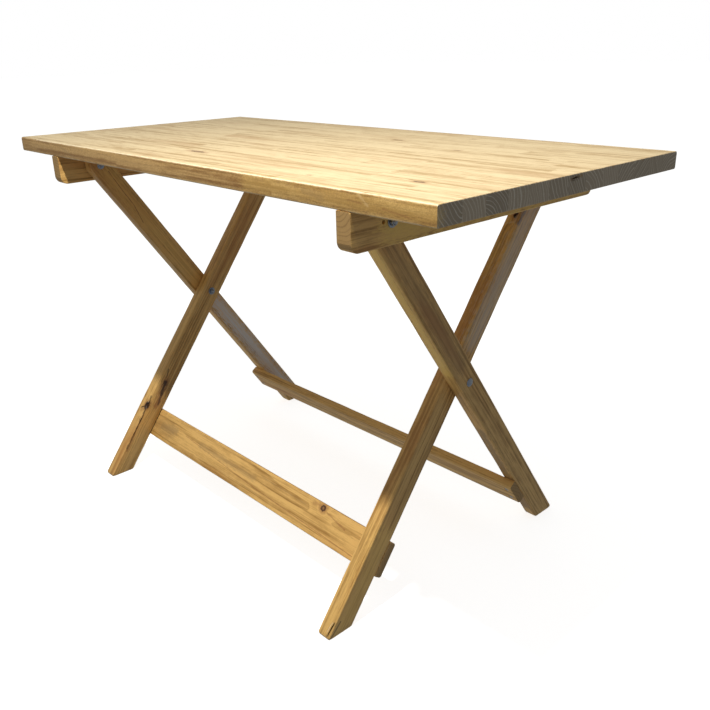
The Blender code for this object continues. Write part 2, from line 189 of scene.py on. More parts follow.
# start, end, half width, colour and strength
MARKS = {
    # painted light: the right batten's outer +X face brightened
    "right_batten": (((-0.21, 0.0), (0.25, 0.0), 0.048, PAINTED_LIGHT_HONEY, 0.9),),
    "top_stave_01": (
        # painted light: the right part of the top's front face brightened
        ((0.23, -0.0225, 0.0), (0.6, -0.0225, 0.0), 0.02, PAINTED_LIGHT_HONEY, 0.28),
        ((0.19, 0.012), (0.184, 0.022), 0.0007, BLEACHED_AND_HIGHLIGHT, 0.75),
        ((0.466, -0.0225, 0.014), (0.486, -0.0225, -0.002), 0.003, YELLOW, 0.45),
        # painted highlight: the bright line along the rounded upper front edge of the top
        ((-0.52, -0.0212, 0.0132), (0.6, -0.0212, 0.0132), 0.0017, BLEACHED_AND_HIGHLIGHT, 0.85),
        # painted shade: the left end of the front face darkened where it turns round the corner
        ((-0.597, -0.0225, 0.012), (-0.597, -0.0225, -0.013), 0.009, TAWNY_STREAK_AND_SHADE, 0.45),
        ((0.45, -0.0225, 0.002), (0.474, -0.0225, 0.0), 0.0018, RUST, 0.4),
        ((0.512, -0.0225, -0.002), (0.556, -0.0225, -0.007), 0.0022, RUST, 0.38),
        ((-0.415, -0.0225, 0.01), (-0.335, -0.0225, -0.014), 0.004, TAWNY_STREAK_AND_SHADE, 0.35),
        ((0.36, -0.0225, 0.004), (0.4, -0.0225, -0.002), 0.007, TAWNY_STREAK_AND_SHADE, 0.35)),
    "top_stave_04": (((0.395, 0.004), (0.498, 0.008), 0.013, TAWNY_STREAK_AND_SHADE, 0.42),
                     ((-0.596, 0.02), (-0.56, 0.022), 0.0075, RUST, 0.45)),
    "top_stave_06": (((-0.59, -0.016), (-0.52, -0.014), 0.008, TAWNY_STREAK_AND_SHADE, 0.55),),
    "top_stave_07": (((-0.575, 0.004), (-0.48, 0.006), 0.0065, TAWNY_STREAK_AND_SHADE, 0.5),
                     ((0.56, 0.009), (0.572, 0.01), 0.0022, BLEACHED_AND_HIGHLIGHT, 0.6),
                     ((0.5995, -0.016, 0.008), (0.5995, 0.011, 0.01), 0.0034, TAWNY_STREAK_AND_SHADE, 0.8)),
    "top_stave_09": (((0.53, 0.0), (0.6, 0.004), 0.006, TAWNY_STREAK_AND_SHADE, 0.55),),
    "top_stave_11": (((0.49, -0.006), (0.6, 0.002), 0.005, TAWNY_STREAK_AND_SHADE, 0.6),),
    "top_stave_13": (((0.43, 0.004), (0.59, 0.006), 0.0055, TAWNY_STREAK_AND_SHADE, 0.6),
                     ((0.3, -0.014), (0.46, -0.012), 0.004, TAWNY_STREAK_AND_SHADE, 0.4)),
    "left_inner_leg": (
        # painted shade: the lower +X face darkened
        ((-0.25, -0.004), (-0.46, -0.004), 0.02, PAINTED_SHADE_UMBER, 0.32),
        ((-0.212, 0.012), (-0.233, 0.006), 0.002, DARK_GRAIN_AND_SHADE, 0.7),
        ((-0.238, 0.004), (-0.302, -0.003), 0.0145, RUST, 0.62),
        ((-0.243, 0.004), (-0.27, -0.001), 0.008, DARK_GRAIN_AND_SHADE, 0.8),
        ((-0.27, -0.001), (-0.298, -0.005), 0.0044, DARK_GRAIN_AND_SHADE, 0.66),
        # painted shadow: dark line where the leg meets the stretcher
        ((-0.303, -0.021), (-0.37, -0.021), 0.003, DARK_GRAIN_AND_SHADE, 0.95),
        ((-0.309, 0.0205), (-0.33, 0.0205), 0.002, DARK_GRAIN_AND_SHADE, 0.85),
        ((-0.33, 0.02), (-0.425, 0.0165), 0.0034, RUST, 0.55),
        ((-0.318, 0.0225, 0.0), (-0.326, 0.0225, 0.002), 0.005, RUST, 0.5),
        ((-0.296, 0.0225), (-0.312, 0.0225, 0.012), 0.0016, BLEACHED_AND_HIGHLIGHT, 0.45)),
    "right_inner_leg": (
        # painted light: the lower +X face brightened
        ((-0.3, 0.0), (-0.52, 0.0), 0.03, PAINTED_LIGHT_GOLD, 0.55),
        ((0.292, 0.02), (0.322, 0.016), 0.0075, PURPLE, 0.75),
        ((0.07, 0.0), (0.42, 0.0), 0.03, GREY_PATCH, 0.4),
        # painted highlight: a pale patch on the front face below the knot hole
        ((0.286, 0.0225, -0.008), (0.29, 0.0225, 0.004), 0.0028, BLEACHED_AND_HIGHLIGHT, 0.22),
        ((-0.48, 0.0225, 0.004), (-0.462, 0.0225, 0.007), 0.0012, BLEACHED_AND_HIGHLIGHT, 0.55),
        ((-0.456, 0.013), (-0.492, 0.019), 0.0026, DARK_GRAIN_AND_SHADE, 0.55)),
    "left_outer_leg": (
        # painted light: the upper +X face brightened
        ((0.02, 0.0), (0.38, 0.0), 0.027, PAINTED_LIGHT_GOLD, 0.42),
        # painted shade: the upper part of the front-down face darkened
        ((0.02, -0.0225, 0.0), (0.4, -0.0225, 0.0), 0.017, PAINTED_SHADE_UMBER, 0.35),
        ((0.44, 0.001), (0.8, 0.001), 0.027, GREY_PATCH, 0.92),
        ((0.02, 0.005), (0.07, 0.001), 0.0011, RUST, 0.75),
        ((0.07, 0.001), (0.112, 0.0), 0.0012, RUST, 0.8),
        ((0.112, 0.0), (0.156, -0.01), 0.0012, RUST, 0.8)),
    "right_outer_leg": (
        # painted light: the upper part of the front-down face brightened, as the bright floor would
        # light it
        ((0.02, -0.0225, 0.0), (0.34, -0.0225, 0.0), 0.0175, PAINTED_LIGHT_HONEY, 0.8),
        # painted shade: the upper +X face and the lower part of the front-down face darkened
        ((0.01, 0.0), (0.34, 0.0), 0.026, PAINTED_SHADE_UMBER, 0.34),
        ((0.52, -0.0225, 0.0), (0.8, -0.0225, 0.0), 0.017, PAINTED_SHADE_UMBER, 0.65)),
    "inner_stretcher": (
        ((-0.35, 0.0), (-0.3, 0.0), 0.033, TAWNY_STREAK_AND_SHADE, 0.4),
        ((0.236, 0.02), (0.29, 0.01), 0.0026, RUST, 0.55),
        ((0.196, 0.024), (0.21, 0.026), 0.005, RUST, 0.45),
        ((-0.24, 0.007), (0.0, -0.01), 0.0011, RUST, 0.6),
        ((0.0, -0.01), (0.33, -0.024), 0.0013, RUST, 0.65),
        ((-0.335, -0.002), (-0.28, 0.004), 0.013, TAWNY_STREAK_AND_SHADE, 0.55),
        ((-0.18, 0.006), (0.02, 0.004), 0.01, TAWNY_STREAK_AND_SHADE, 0.42),
        ((-0.18, -0.018), (0.06, -0.02), 0.001, TAWNY_STREAK_AND_SHADE, 0.5),
        ((0.04, 0.016), (0.18, 0.014), 0.0014, TAWNY_STREAK_AND_SHADE, 0.45)),
}

# middle, direction, outward direction, length, width and depth of real openings in the wood
SPLITS = {
    "top_stave_07": (((0.6, -0.0055, 0.0085), (0, 1, 0.04), (1, 0, 0), 0.019, 0.0021, 0.008),),
    "left_inner_leg": (
        ((-0.311, 0.0221, 0.0136), (1, 0, 0), (0, 1, 1), 0.02, 0.0085, 0.006),
        ((-0.374, 0.0192, 0.014), (1, 0.01, 0), (0, 0, 1), 0.112, 0.0022, 0.004),
        ((-0.316, 0.0225, 0.003), (0.45, 0, 0.9), (0, 1, 0), 0.022, 0.002, 0.003),
        ((-0.294, 0.0205, 0.014), (1, 0.1, 0), (0, 0, 1), 0.022, 0.002, 0.003)),
    "right_inner_leg": (
        ((-0.4735, 0.0225, 0.0095), (1, 0, 0.14), (0, 1, 0), 0.031, 0.0028, 0.0046),
        ((0.304, 0.0225, 0.0035), (0.7, 0, 0.7), (0, 1, 0), 0.011, 0.005, 0.004)),
}


# Shapes of boards

def fallen(distance, radius):
    """How far a rounded edge of that radius has fallen at a distance in from the edge."""
    if radius <= 0.0 or distance >= radius:
        return 0.0
    return radius - math.sqrt(max(0.0, radius ** 2 - (radius - distance) ** 2))


def even_shares(steps):
    """Shares of a whole from 0 to 1, the same distance apart."""
    return [step / steps for step in range(steps + 1)]


def even_steps(low, high, step):
    count = max(1, round((high - low) / step))
    return [low + (high - low) * share for share in even_shares(count)]


def arc_offsets(radius, steps=ARC_STEPS):
    """Distances in from an edge at which a rounded edge is given points."""
    if radius <= 0.0:
        return [0.0]
    return [radius * (1 - math.cos(math.pi / 2 * share)) for share in even_shares(steps)]


def merged(values, apart=0.00004):
    """Sorted values without any that lie closer together than the given distance."""
    kept = []
    for value in sorted(values):
        if not kept or value - kept[-1] > apart:
            kept.append(value)
    return kept


def rounded_path(corners, steps=8):
    """Open path through corners given as (x, y, radius), turned by arcs at the inner corners."""
    points = [Vector(corners[0][:2])]
    for before, (x, y, radius), after in zip(corners, corners[1:], corners[2:]):
        corner = Vector((x, y))
        to_before = (Vector(before[:2]) - corner).normalized()
        to_after = (Vector(after[:2]) - corner).normalized()
        half = to_before.angle(to_after) / 2
        centre = corner + (to_before + to_after).normalized() * (radius / math.sin(half))
        first = corner + to_before * (radius / math.tan(half)) - centre
        last = corner + to_after * (radius / math.tan(half)) - centre
        sweep = first.angle_signed(last)
        points += [centre + Matrix.Rotation(-sweep * share, 2) @ first for share in even_shares(steps)]
    points.append(Vector(corners[-1][:2]))
    return points


def reader(path):
    """Function that gives x at y along a path whose points run from low to high y."""
    def x_at(y):
        if y <= path[0].y:
            return path[0].x
        for here, there in zip(path, path[1:]):
            if y <= there.y and there.y - here.y > 1e-9:
                return here.x + (there.x - here.x) * (y - here.y) / (there.y - here.y)
        return path[-1].x
    return x_at


def straight(x):
    return lambda y: x


def board_mesh(name, half_width, half_thickness, ends, edges, extra=(), rim=END_RIM):
    """Closed board made of a fine grid of quads.

    ends are two functions of y that give the x of either end. edges are the radii of the four
    long edges: lower and upper at -Y, then lower and upper at +Y. extra are more places across
    the width that are given points.
    """
    low_edge, high_edge = edges[:2], edges[2:]
    columns = even_steps(-half_width + max(low_edge), half_width - max(high_edge), COLUMN_STEP)
    columns += [-half_width + offset for radius in low_edge for offset in arc_offsets(radius)]
    columns += [half_width - offset for radius in high_edge for offset in arc_offsets(radius)]
    columns = merged(columns + list(extra))
    low_end, high_end = ends
    length = high_end(0.0) - low_end(0.0)
    shares = even_steps(0.0, 1.0, STATION_STEP / length)
    stations = [(0, offset, offset) for offset in arc_offsets(rim)]
    stations += [(share, rim, rim) for share in shares[1:-1]]
    stations += [(1, offset, offset) for offset in reversed(arc_offsets(rim))]

    def place(station, y, upper):
        share, offset, fall_at = station
        low, high = low_end(y) + offset, high_end(y) - offset
        x = low + (high - low) * share
        fall = fallen(y + half_width, low_edge[upper]) + fallen(half_width - y, high_edge[upper])
        height = half_thickness - fall - fallen(fall_at, rim)
        return (x, y, height if upper else -height)

    shape = bmesh.new()
    rows = [[[shape.verts.new(place(station, y, upper)) for y in columns] for station in stations]
            for upper in (0, 1)]
    lower, upper = rows
    strips = [*zip(lower, lower[1:]), *zip(upper, upper[1:])]
    strips += [(lower[end], upper[end]) for end in (0, -1)]
    strips += [([row[edge] for row in lower], [row[edge] for row in upper]) for edge in (0, -1)]
    for first, second in strips:
        for corners in zip(first, second, second[1:], first[1:]):
            shape.faces.new(corners)
    return finished_mesh(name, shape)


def smoothed(mesh):
    mesh.shade_smooth()
    mesh.set_sharp_from_angle(angle=SHARP_ANGLE)
    return mesh


def finished_mesh(name, shape):
    bmesh.ops.recalc_face_normals(shape, faces=shape.faces)
    mesh = bpy.data.meshes.new(name)
    shape.to_mesh(mesh)
    shape.free()
    return smoothed(mesh)


# Turned shapes

def circle(radius):
    return lambda turn: radius


def hexagon(corner_radius, limit=math.inf):
    """Hexagon with chamfered corners: nowhere further out than the limit."""
    def reach(turn):
        off_flat = turn % (math.pi / 3) - math.pi / 6
        return min(limit, corner_radius * math.cos(math.pi / 6) / math.cos(off_flat))
    return reach


def thread(radius, x, pitch=THREAD_PITCH, depth=THREAD_DEPTH):
    """Helical thread of a rod: the crest follows the turn as x moves on by one pitch."""
    def reach(turn):
        phase = (x / pitch - turn / (2 * math.pi)) % 1.0
        return radius - depth * abs(2 * phase - 1)
    return reach


def bridged(name, loops, closed=False):
    """Mesh through loops of points. Its ends are capped unless the last loop meets the first."""
    shape = bmesh.new()
    loops = [[shape.verts.new(point) for point in loop] for loop in loops]
    count, sides = len(loops), len(loops[0])
    for index in range(count if closed else count - 1):
        here, there = loops[index], loops[(index + 1) % count]
        for side in range(sides):
            after = (side + 1) % sides
            shape.faces.new((here[side], here[after], there[after], there[side]))
    if not closed:
        shape.faces.new(reversed(loops[0]))
        shape.faces.new(loops[-1])
    return finished_mesh(name, shape)


def turned_mesh(name, rings, sides=FASTENER_SIDES, closed=False):
    """Solid about the X axis through rings of (x, reach), where reach gives a radius at a turn."""
    turns = [2 * math.pi * side / sides for side in range(sides)]
    loops = [[(x, reach(t) * math.cos(t), reach(t) * math.sin(t)) for t in turns]
             for x, reach in rings]
    return bridged(name, loops, closed)


def rounded_rings(points, radius, steps=3):
    """Rings of circles through (x, radius) corners, each corner eased by a small arc."""
    rings = []
    count = len(points)
    for index, (x, reach) in enumerate(points):
        corner = Vector((x, reach))
        before = (Vector(points[index - 1]) - corner).normalized()
        after = (Vector(points[(index + 1) % count]) - corner).normalized()
        for share in even_shares(steps):
            place = corner + before * radius * (1 - share) ** 2 + after * radius * share ** 2
            rings.append((place.x, circle(place.y)))
    return rings


def washer_mesh(outer, inner, thickness):
    corners = [(0.0, inner), (0.0, outer), (thickness, outer), (thickness, inner)]
    return turned_mesh("washer", rounded_rings(corners, 0.0004), closed=True)


def hex_rings(corner_radius, x_from, x_to, chamfer=0.0011, steps=4):
    """Hexagonal length whose end at x_from has its corners turned off by a shallow cone."""
    flat = corner_radius * math.cos(math.pi / 6)
    direction = 1 if x_to > x_from else -1
    rings = []
    for share in even_shares(steps):
        limit = flat * 0.94 + (corner_radius - flat * 0.94) * share
        rings.append((x_from + direction * chamfer * share, hexagon(corner_radius, limit)))
    rings.append((x_to, hexagon(corner_radius)))
    return rings


def nut_mesh(corner_radius, inner, height):
    """Nut chamfered on its outer face, with a thread relief round its bore."""
    rings = [(0.0, circle(inner + 0.0004)), (0.0, hexagon(corner_radius, corner_radius * 0.97))]
    rings += reversed(hex_rings(corner_radius, height, 0.0008))
    rings += [(height, circle(inner + 0.0005)), (height - 0.0005, circle(inner)),
              (0.0004, circle(inner))]
    return turned_mesh("nut", rings, closed=True)


def threaded_rings(radius, x_from, x_to):
    """Rings of a thread that ends in a short cone at x_to."""
    rings = [(x, thread(radius, x)) for x in even_steps(x_from, x_to, THREAD_PITCH / 6)]
    return rings + [(x_to + 0.0003, circle(radius - 0.0009))]


def domed_bolt_mesh(length, threaded):
    """Low round-headed bolt with the underside of its head at x = 0 and its shank along +X."""
    rings = []
    for share in even_shares(DOME_STEPS)[1:]:
        turn = math.pi / 2 * share
        x = -DOME_HEIGHT * math.cos(turn) ** 0.8 if share < 1.0 else -0.0002
        rings.append((x, circle(DOME_RADIUS * math.sin(turn))))
    rings += [(0.0, circle(DOME_RADIUS - 0.0002)), (0.0, circle(BOLT_RADIUS)),
              (length - threaded, circle(BOLT_RADIUS))]
    rings += threaded_rings(BOLT_RADIUS, length - threaded + 0.0003, length - 0.0003)
    return turned_mesh("domed_bolt", rings)


def screw_mesh(length):
    """Countersunk wood screw sunk from x = 0 along +X, with a cross recess in its head."""
    rings = [(0.0, circle(SCREW_HEAD_RADIUS - 0.0003)), (0.0002, circle(SCREW_HEAD_RADIUS)),
             (0.0005, circle(SCREW_HEAD_RADIUS)), (SCREW_HEAD_DEPTH, circle(SCREW_RADIUS * 0.75))]
    crests = even_steps(SCREW_HEAD_DEPTH + 0.001, length * 0.8, SCREW_PITCH / 2)
    for step, x in enumerate(crests):
        rings.append((x, circle(SCREW_RADIUS if step % 2 else SCREW_RADIUS * 0.72)))
    rings.append((length, circle(0.0004)))
    screw = new_object("screw", turned_mesh("screw", rings, SCREW_SIDES))
    half_reach, half_width = RECESS_REACH / 2, RECESS_WIDTH / 2
    return carved(screw, [tapered_slot(half_reach, half_width), tapered_slot(half_width, half_reach)])


def tapered_slot(half_y, half_z, taper=0.55):
    """One arm of a cross recess, narrowing from the head's face down into it."""
    corners = ((-1, -1), (1, -1), (1, 1), (-1, 1))
    loops = [[(x, y * half_y * share, z * half_z * share) for y, z in corners]
             for x, share in ((-0.001, 1.0), (0.0, 1.0), (RECESS_DEPTH, taper))]
    return bridged("slot", loops)


# Cutting and placing

def new_object(name, mesh):
    piece = bpy.data.objects.new(name, mesh)
    bpy.context.scene.collection.objects.link(piece)
    return piece


def carved(piece, cutters):
    """The piece's mesh with each closed cutter mesh taken out of it. The piece is used up."""
    tools = []
    for number, cutter in enumerate(cutters):
        tool = new_object(f"cutter_{number}", cutter)
        modifier = piece.modifiers.new("cut", "BOOLEAN")
        modifier.operation = "DIFFERENCE"
        modifier.solver = "EXACT"
        modifier.object = tool
        tools.append(tool)
    graph = bpy.context.evaluated_depsgraph_get()
    mesh = bpy.data.meshes.new_from_object(piece.evaluated_get(graph))
    for used in tools + [piece]:
        bpy.data.objects.remove(used, do_unlink=True)
    return smoothed(mesh)


def along(direction, location):
    """Placement that turns a shape's own X axis into a direction and moves it to a location."""
    turn = Vector((1.0, 0.0, 0.0)).rotation_difference(Vector(direction))
    return Matrix.Translation(Vector(location)) @ turn.to_matrix().to_4x4()


def bore(radius, direction, start, length, sides=BORE_SIDES):
    """Cutter for a round hole that starts at a point and runs along a direction."""
    mesh = turned_mesh("bore", [(0.0, circle(radius)), (length, circle(radius))], sides)
    mesh.transform(along(direction, start) @ Matrix.Rotation(BORE_TWIST, 4, "X"))
    return mesh


def screw_hole(direction, start, length):
    """Cutter for a countersunk screw hole, which opens a little beyond its start."""
    rings = [(-OVERRUN, SCREW_HEAD_RADIUS + FIT), (FIT, SCREW_HEAD_RADIUS + FIT),
             (SCREW_HEAD_DEPTH + FIT, SCREW_RADIUS + FIT), (length + FIT, SCREW_RADIUS + FIT)]
    mesh = turned_mesh("screw_hole", [(x, circle(r)) for x, r in rings], SCREW_SIDES)
    mesh.transform(along(direction, start))
    return mesh


def split_cutter(middle, direction, outward, length, width, depth):
    """Cutter for an opening in the wood, pointed at its ends and a little crooked."""
    rings = []
    for share in even_shares(SPLIT_STEPS):
        along_split = share - 0.5
        rings.append((along_split * length, circle(max(0.03, 1 - (2 * along_split) ** 2))))
    mesh = turned_mesh("split", rings, SPLIT_SIDES)
    for vertex in mesh.vertices:
        sway = 0.35 * math.sin(5.1 * vertex.co.x / length + 1.0)
        vertex.co.y = (vertex.co.y + sway) * width / 2
        vertex.co.z *= depth
    grain = Vector(direction).normalized()
    out = Vector(outward).normalized()
    mesh.transform(basis(grain, out.cross(grain), out, middle))
    return mesh


def split_cutters(node):
    return [split_cutter(*split) for split in SPLITS.get(node, ())]


def basis(grain, across, through, origin):
    """Placement of a board whose own X, Y and Z axes lie along the three directions."""
    turn = Matrix((grain, across, through)).transposed().to_4x4()
    return Matrix.Translation(Vector(origin)) @ turn


def middle_and_half(node):
    """Middle and half size of a node's box in the CAD model."""
    low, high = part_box(node)
    return (low + high) / 2, (high - low) / 2


def settle(node, mesh, material, place, body):
    """Adds a finished piece at its place, riding on its body and standing for its CAD node."""
    mesh = mesh.copy()
    mesh.name = f"fine_{node}"
    mesh.transform(place)
    mesh.materials.clear()
    mesh.materials.append(material)
    piece = new_object(mesh.name, mesh)
    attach(piece, body)
    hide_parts(node)
    return piece


# Node helpers

class Graph:
    """Short ways to add nodes to the node tree of a material or world."""

    def __init__(self, owner):
        owner.use_nodes = True
        self.tree = owner.node_tree

    def feed(self, socket, value):
        if isinstance(value, bpy.types.NodeSocket):
            self.tree.links.new(value, socket)
        else:
            socket.default_value = value

    def add(self, kind, *values, **settings):
        """A node of a kind with its settings, its first inputs fed with values."""
        node = self.tree.nodes.new(f"ShaderNode{kind}")
        for name, setting in settings.items():
            setattr(node, name, setting)
        for socket, value in zip(node.inputs, values):
            self.feed(socket, value)
        return node

    def math(self, operation, *values, clamp=False):
        return self.add("Math", *values, operation=operation, use_clamp=clamp).outputs[0]

    def times(self, first, second):
        return self.math("MULTIPLY", first, second)

    def scaled(self, vector, factors):
        return self.vector("MULTIPLY", vector, factors)

    def vector(self, operation, *values):
        node = self.add("VectorMath", *values, operation=operation)
        scalar = operation in ("LENGTH", "DISTANCE", "DOT_PRODUCT")
        return node.outputs["Value" if scalar else "Vector"]

    def split(self, vector):
        return self.add("SeparateXYZ", vector).outputs

    def join(self, x, y, z):
        return self.add("CombineXYZ", x, y, z).outputs[0]

    def noise(self, vector, scale=1.0, detail=2.0, roughness=0.5, output=0):
        return self.add("TexNoise", vector, 0.0, scale, detail, roughness).outputs[output]

    def field(self, cell, name):
        """One of the noise fields of wood, drawn out along the grain."""
        lengthwise, across, detail, roughness = FIELDS[name]
        return self.noise(self.scaled(cell, (lengthwise, across, across)), 1.0, detail, roughness)

    def chance(self, x, y):
        """A number from 0 to 1 that belongs to a pair of whole numbers."""
        pair = self.join(x, y, 0.0)
        return self.add("TexWhiteNoise", pair, noise_dimensions="2D").outputs["Value"]

    def step(self, value, low, high, to_low=0.0, to_high=1.0):
        """Smooth step of a value from one range to another."""
        values = (value, low, high, to_low, to_high)
        return self.add("MapRange", *values, interpolation_type="SMOOTHSTEP").outputs[0]

    def mix(self, share, first, second, blend="MIX"):
        node = self.add("Mix", share, data_type="RGBA", blend_type=blend)
        self.feed(node.inputs[6], first)
        self.feed(node.inputs[7], second)
        return node.outputs[2]

    def bump(self, height, distance, strength):
        node = self.add("Bump")
        node.inputs["Strength"].default_value = strength
        node.inputs["Distance"].default_value = distance
        self.feed(node.inputs["Height"], height)
        return node.outputs[0]


def new_material(name):
    """A material, the graph of its nodes and the inputs of its shader."""
    material = bpy.data.materials.new(name)
    g = Graph(material)
    return material, g, g.tree.nodes["Principled BSDF"].inputs


def rgb(red, green, blue):
    return (red, green, blue, 1.0)


# Materials

# The top's pale colours paint the sheen of its upper face; edge_dark and edge_pale tint its edges back
# to their own darker colour.
WOOD_LOOKS = {
    "top": {"pale": rgb(0.75, 0.605, 0.365), "deep": rgb(0.42, 0.275, 0.115),
            "red": rgb(0.52, 0.34, 0.17), "end": rgb(0.44, 0.36, 0.245),
            "end_line": rgb(0.86, 0.79, 0.62), "ring": 0.30, "ground": 0.13, "contrast": 1.30,
            "edge_dark": rgb(0.72, 0.52, 0.29), "edge_pale": rgb(1.0, 0.80, 0.50)},
    "frame": {"pale": rgb(0.86, 0.53, 0.170), "deep": rgb(0.42, 0.22, 0.050),
              "red": rgb(0.54, 0.22, 0.05), "end": rgb(0.48, 0.30, 0.115),
              "end_line": rgb(0.26, 0.14, 0.05), "ring": 0.50, "ground": 0.14, "contrast": 1.1},
}

# noise fields: scale along and across the grain, detail and roughness
FIELDS = {
    "fibre": (7.0, 380.0, 3.0, 0.60), "streak": (2.2, 70.0, 3.0, 0.55),
    "figure": (24.0, 110.0, 3.0, 0.65), "hair": (3.5, 210.0, 2.0, 0.60),
    "patch": (3.0, 20.0, 2.0, 0.50), "pores": (90.0, 1500.0, 1.0, 0.50),
    "speck": (400.0, 1300.0, 2.0, 0.50), "rub": (40.0, 120.0, 2.0, 0.50),
    "ragged": (90.0, 420.0, 2.0, 0.50), "lines": (4.0, 240.0, 3.0, 0.60),
}
DEPTH_SHARES = (("streak", 2.5), ("figure", 1.3), ("hair", 1.5), ("fibre", 1.2))
LAMELLA_TONE = 0.17
END_TONE = 1.6
WEAR_AND_HIGHLIGHT_FROM = 0.0035
WEAR_AND_HIGHLIGHT_FULL = 0.0004


def board_point(g, coords, place):
    """Object coordinates turned into the board's own: along, across and through it."""
    offset = g.vector("SUBTRACT", coords.outputs["Object"], place.translation[:])
    axes = [place.to_3x3().col[axis][:] for axis in range(3)]
    return g.join(*(g.vector("DOT_PRODUCT", offset, axis) for axis in axes))


def unsteady(g, cell, scale, amount):
    """Small offsets across the grain that change smoothly from place to place."""
    field = g.noise(g.scaled(cell, scale), detail=2.0, output="Color")
    return g.scaled(g.vector("SUBTRACT", field, (0.5, 0.5, 0.5)), (0.0, amount, amount))


def on_board(place, face):
    """A place in a board's own coordinates. One of two numbers is on the face at that height."""
    return (*place, face)[:3]


def knot_shares(g, point, cell, knots, face):
    """How far the rings are pushed aside by knots, and how much is knot core and halo."""
    push, core, halo = 0.0, 0.0, 0.0
    for place, radius, darkness, stretch in knots:
        offset = g.vector("SUBTRACT", point, on_board(place, face))
        away = g.scaled(offset, (1 / stretch, 1.0, 1.0))
        uneven = g.math("MULTIPLY_ADD", g.noise(cell, 260.0), radius * 0.8, radius * -0.4)
        distance = g.math("ADD", g.vector("LENGTH", away), uneven)
        push = g.math("ADD", push, g.step(distance, radius * 6, 0.0, 0.0, radius * 1.8))
        ring = g.times(g.step(distance, radius * 1.05, radius * 0.75),
                      g.step(distance, radius * 0.15, radius * 0.6, 0.40, 1.0))
        core = g.math("MAXIMUM", core, g.times(ring, darkness))
        halo = g.math("MAXIMUM", halo, g.step(distance, radius * 2.2, radius * 0.9, 0.0, darkness))
    return push, core, halo


def growth_rings(g, point, cell, pith, spacing, push, seed):
    """Thin latewood lines round an off-board pith, and how strong each one is."""
    bent = g.vector("ADD", point, unsteady(g, cell, (2.4, 16.0, 16.0), 0.022))
    bent = g.vector("ADD", bent, unsteady(g, cell, (14.0, 90.0, 90.0), 0.0022))
    across = g.scaled(g.vector("SUBTRACT", bent, (0.0, *pith)), (0.0, 1.0, 1.0))
    count = g.math("DIVIDE", g.math("ADD", g.vector("LENGTH", across), push), spacing)
    uneven = g.noise(g.join(g.times(count, 0.55), seed, 0.0), detail=1.0)
    count = g.math("FRACT", g.math("MULTIPLY_ADD", uneven, 1.6, count))
    shade = g.times(g.step(count, 0.20, 0.92), g.step(count, 1.0, 0.94))
    line = g.times(g.step(count, 0.64, 0.84), g.step(count, 1.0, 0.93))
    strength = g.step(uneven, 0.30, 0.66, 0.35, 1.0)
    return g.times(shade, strength), g.times(line, strength)


def marked(g, point, cell, colour, marks, face):
    """Lays marks over a colour: lines from place to place with soft, uneven sides."""
    if not marks:
        return colour
    ragged, lines = g.field(cell, "ragged"), g.field(cell, "lines")
    for start, end, half_width, shade, strength in marks:
        start = on_board(start, face)
        run = Vector(on_board(end, face)) - Vector(start)
        offset = g.vector("SUBTRACT", point, start)
        share = g.vector("DOT_PRODUCT", offset, run[:])
        share = g.math("MULTIPLY", share, 1 / run.length_squared, clamp=True)
        distance = g.vector("DISTANCE", offset, g.scaled(run[:], share))
        distance = g.math("SUBTRACT", distance, half_width * 0.8)
        distance = g.math("MULTIPLY_ADD", ragged, half_width * 1.6, distance)
        amount = g.step(distance, half_width, half_width * 0.15, 0.0, strength)
        if shade == GREY_PATCH:
            amount = g.times(amount, g.step(lines, 0.30, 0.60, 0.55, 1.0))
        colour = g.mix(amount, colour, shade)
    return colour


def painted_split_shade(node):
    """Painted shade in the insides of a board's splits."""
    marks = []
    for middle, direction, outward, length, width, depth in SPLITS.get(node, ()):
        reach = Vector(direction).normalized() * (length * 0.40)
        inside = Vector(middle) - Vector(outward).normalized() * (depth * 0.55)
        marks.append(((inside - reach)[:], (inside + reach)[:], depth * 0.85, DARK_GRAIN_AND_SHADE, 0.96))
    return tuple(marks)


def facing(g, coords, place, axis, low, high):
    """How much a surface faces along one of the board's own axes, either way."""
    normal = coords.outputs["Normal"]
    upright = g.vector("DOT_PRODUCT", normal, place.to_3x3().col[axis][:])
    return g.step(g.math("ABSOLUTE", upright), low, high)


def wood_depth(g, cell, shades, ring, fibre, tone):
    """How deep the wood's colour is: the board's tone with rings, streaks and fibres on it."""
    depth = g.math("MULTIPLY_ADD", ring, shades["ring"], tone)
    for name, share in DEPTH_SHARES:
        amount = share * shades["contrast"]
        field = fibre if name == "fibre" else g.field(cell, name)
        depth = g.math("ADD", depth, g.math("MULTIPLY_ADD", field, amount, -0.5 * amount))
    return g.math("ADD", depth, shades["ground"], clamp=True)


def sides_darker_than_painted_sheen(g, cell, colour, shades, on_edge):
    """Long edges of the top, darker and more orange than its upper face, whose paler colour is painted
    sheen; also mottled.
    """
    mottle = g.noise(g.scaled(cell, (420.0, 620.0, 620.0)), detail=2.0)
    tint = g.mix(g.step(mottle, 0.34, 0.66), shades["edge_dark"], shades["edge_pale"])
    return g.mix(on_edge, colour, g.mix(1.0, colour, tint, "MULTIPLY"))


def end_grain(g, cell, shades, line, tone):
    """Colour of a sawn end: its ground, the lines of the rings and dark specks."""
    share = 1 - END_TONE * tone
    ground = rgb(*(channel * share for channel in shades["end"][:3]))
    colour = g.mix(g.times(line, 0.65), ground, shades["end_line"])
    return g.mix(g.step(g.field(cell, "speck"), 0.42, 0.70, 0.0, 0.45), colour, shades["deep"])


def edge_wear_and_highlight(g, point, cell, size):
    """How much the long edges are paled: rubbed wear, and painted highlight along the rounded edges.
    """
    spot = g.split(point)
    near_y, near_z = (g.step(g.math("ABSOLUTE", across), half - WEAR_AND_HIGHLIGHT_FROM, half - WEAR_AND_HIGHLIGHT_FULL)
                      for across, half in zip(spot[1:], size))
    rub = g.step(g.field(cell, "rub"), 0.30, 0.60, 0.0, 0.75)
    return g.times(g.times(near_y, near_z), rub)


